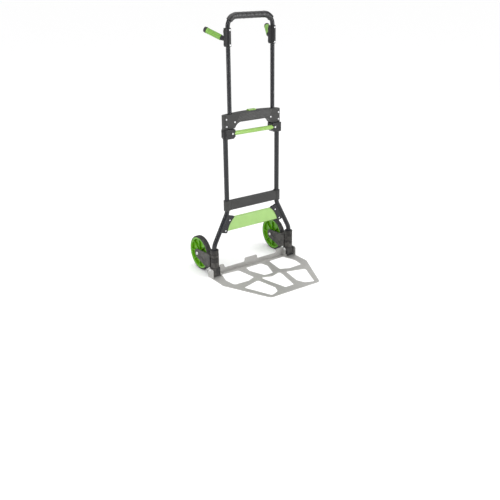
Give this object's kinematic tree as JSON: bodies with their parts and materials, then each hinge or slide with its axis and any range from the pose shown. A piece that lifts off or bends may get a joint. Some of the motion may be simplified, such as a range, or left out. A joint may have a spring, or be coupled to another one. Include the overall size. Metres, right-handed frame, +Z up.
{
  "type": "folding hand truck",
  "caption": "folding hand truck with telescopic tube handle, swing-out rear grips, wheels that fold in with a hinged cut-out toe plate, and a push-button height lock",
  "frame": {"origin": "on the ground in the plane of the frame tubes, midway between the feet, on the underside of the toe plate", "axes": "+X to the side across the truck, -Y forward over the toe plate, +Z up along the frame"},
  "size_m": [0.4872, 0.536, 1.159],
  "materials": {
    "dark_tube": "satin charcoal powder coat",
    "grey_plastic": "fine-grained dark grey moulding",
    "black_plastic": "fine-grained black moulding",
    "fork_plastic": "fine-grained warm grey moulding",
    "green_plastic": "semi-gloss bright green moulding",
    "green_grip": "soft bright green grip sleeve",
    "green_sheet": "satin pale green powder coat",
    "green_bar": "satin pale green powder coat",
    "foam": "closed-cell foam sleeve with a slight sheen",
    "tyre": "solid rubber with a fine tread",
    "plate_metal": "satin bare sheet",
    "zinc": "bright zinc plate",
    "dark_steel": "black oxide",
    "spring_steel": "bare spring wire",
    "acetal": "black acetal"
  },
  "bodies": {
    "lower_frame": {"lower_tube_left": "dark_tube", "lower_tube_right": "dark_tube", "panel_bracket_left": "dark_tube", "panel_bracket_right": "dark_tube", "slide_bush_left": "acetal", "slide_bush_right": "acetal", "foot_block_left": "black_plastic", "foot_block_right": "black_plastic", "crossbar_front": "grey_plastic", "crossbar_rear": "grey_plastic", "crossbar_screws": "zinc", "back_panel": "green_sheet", "panel_rivets": "zinc", "housing_front": "grey_plastic", "housing_rear": "grey_plastic", "housing_screws": "zinc", "button_spring": "spring_steel", "latch_springs": "spring_steel", "foot_cross_pins": "dark_steel", "swivel_washers": "acetal", "retaining_rings": "dark_steel"},
    "handle": {"handle_tube": "dark_tube", "foam_grip": "foam", "clamp_screws": "zinc", "cross_bar": "green_bar", "collar_bolts": "zinc", "grip_pivots": "zinc", "clamp_left": "black_plastic", "clamp_right": "black_plastic", "clamp_bush_left": "acetal", "clamp_bush_right": "acetal", "grip_collar_left": "black_plastic", "grip_collar_right": "black_plastic"},
    "toe_plate": {"toe_plate": "plate_metal", "hinge_pin_left": "zinc", "hinge_pin_right": "zinc"},
    "button": {"release_button": "green_plastic"},
    "grip_left": {"grip_arm_left": "black_plastic", "hand_grip_left": "green_grip", "grip_cap_left": "black_plastic"},
    "fork_left": {"fork_left": "fork_plastic", "axle_bolt_left": "zinc", "axle_nut_left": "zinc"},
    "wheel_left": {"wheel_rim_left": "green_plastic", "tyre_left": "tyre", "wheel_bush_left": "acetal"},
    "latch_left": {"latch_left": "zinc"},
    "grip_right": {"grip_arm_right": "black_plastic", "hand_grip_right": "green_grip", "grip_cap_right": "black_plastic"},
    "fork_right": {"fork_right": "fork_plastic", "axle_bolt_right": "zinc", "axle_nut_right": "zinc"},
    "wheel_right": {"wheel_rim_right": "green_plastic", "tyre_right": "tyre", "wheel_bush_right": "acetal"},
    "latch_right": {"latch_right": "zinc"}
  },
  "joints": [
    {"name": "handle_slide", "type": "slide", "parent": "lower_frame", "child": "handle", "axis": [0, 0, 1], "range_m": [-0.275, 0]},
    {"name": "toe_fold", "type": "hinge", "parent": "lower_frame", "child": "toe_plate", "pos_m": [0, 0, 0.038], "axis": [-1, 0, 0], "range_deg": [0, 90]},
    {"name": "button_press", "type": "slide", "parent": "lower_frame", "child": "button", "axis": [0, 0, -1], "range_m": [0, 0.005], "stiffness_N_per_m": 900, "springref_m": -0.002},
    {"name": "grip_left_swing", "type": "hinge", "parent": "handle", "child": "grip_left", "pos_m": [-0.115, 0.0205, 1.058], "axis": [0, 0, -1], "range_deg": [0, 104]},
    {"name": "fork_left_swing", "type": "hinge", "parent": "lower_frame", "child": "fork_left", "pos_m": [-0.215, 0, 0.09], "axis": [0, 0, -1], "range_deg": [0, 90]},
    {"name": "wheel_left_spin", "type": "hinge", "parent": "fork_left", "child": "wheel_left", "pos_m": [-0.215, 0.121, 0.082], "axis": [1, 0, 0], "continuous": true},
    {"name": "latch_left_slide", "type": "slide", "parent": "lower_frame", "child": "latch_left", "axis": [1, 0, 0], "range_m": [0, 0.005]},
    {"name": "grip_right_swing", "type": "hinge", "parent": "handle", "child": "grip_right", "pos_m": [0.115, 0.0205, 1.058], "axis": [0, 0, 1], "range_deg": [0, 104]},
    {"name": "fork_right_swing", "type": "hinge", "parent": "lower_frame", "child": "fork_right", "pos_m": [0.215, 0, 0.09], "axis": [0, 0, 1], "range_deg": [0, 90]},
    {"name": "wheel_right_spin", "type": "hinge", "parent": "fork_right", "child": "wheel_right", "pos_m": [0.215, 0.121, 0.082], "axis": [1, 0, 0], "continuous": true},
    {"name": "latch_right_slide", "type": "slide", "parent": "lower_frame", "child": "latch_right", "axis": [-1, 0, 0], "range_m": [0, 0.005]}
  ],
  "couplings": [
    {"joint": "fork_left_swing", "follows": "toe_fold", "ratio": 1},
    {"joint": "latch_left_slide", "follows": "button_press", "ratio": 1},
    {"joint": "fork_right_swing", "follows": "toe_fold", "ratio": 1},
    {"joint": "latch_right_slide", "follows": "button_press", "ratio": 1}
  ]
}
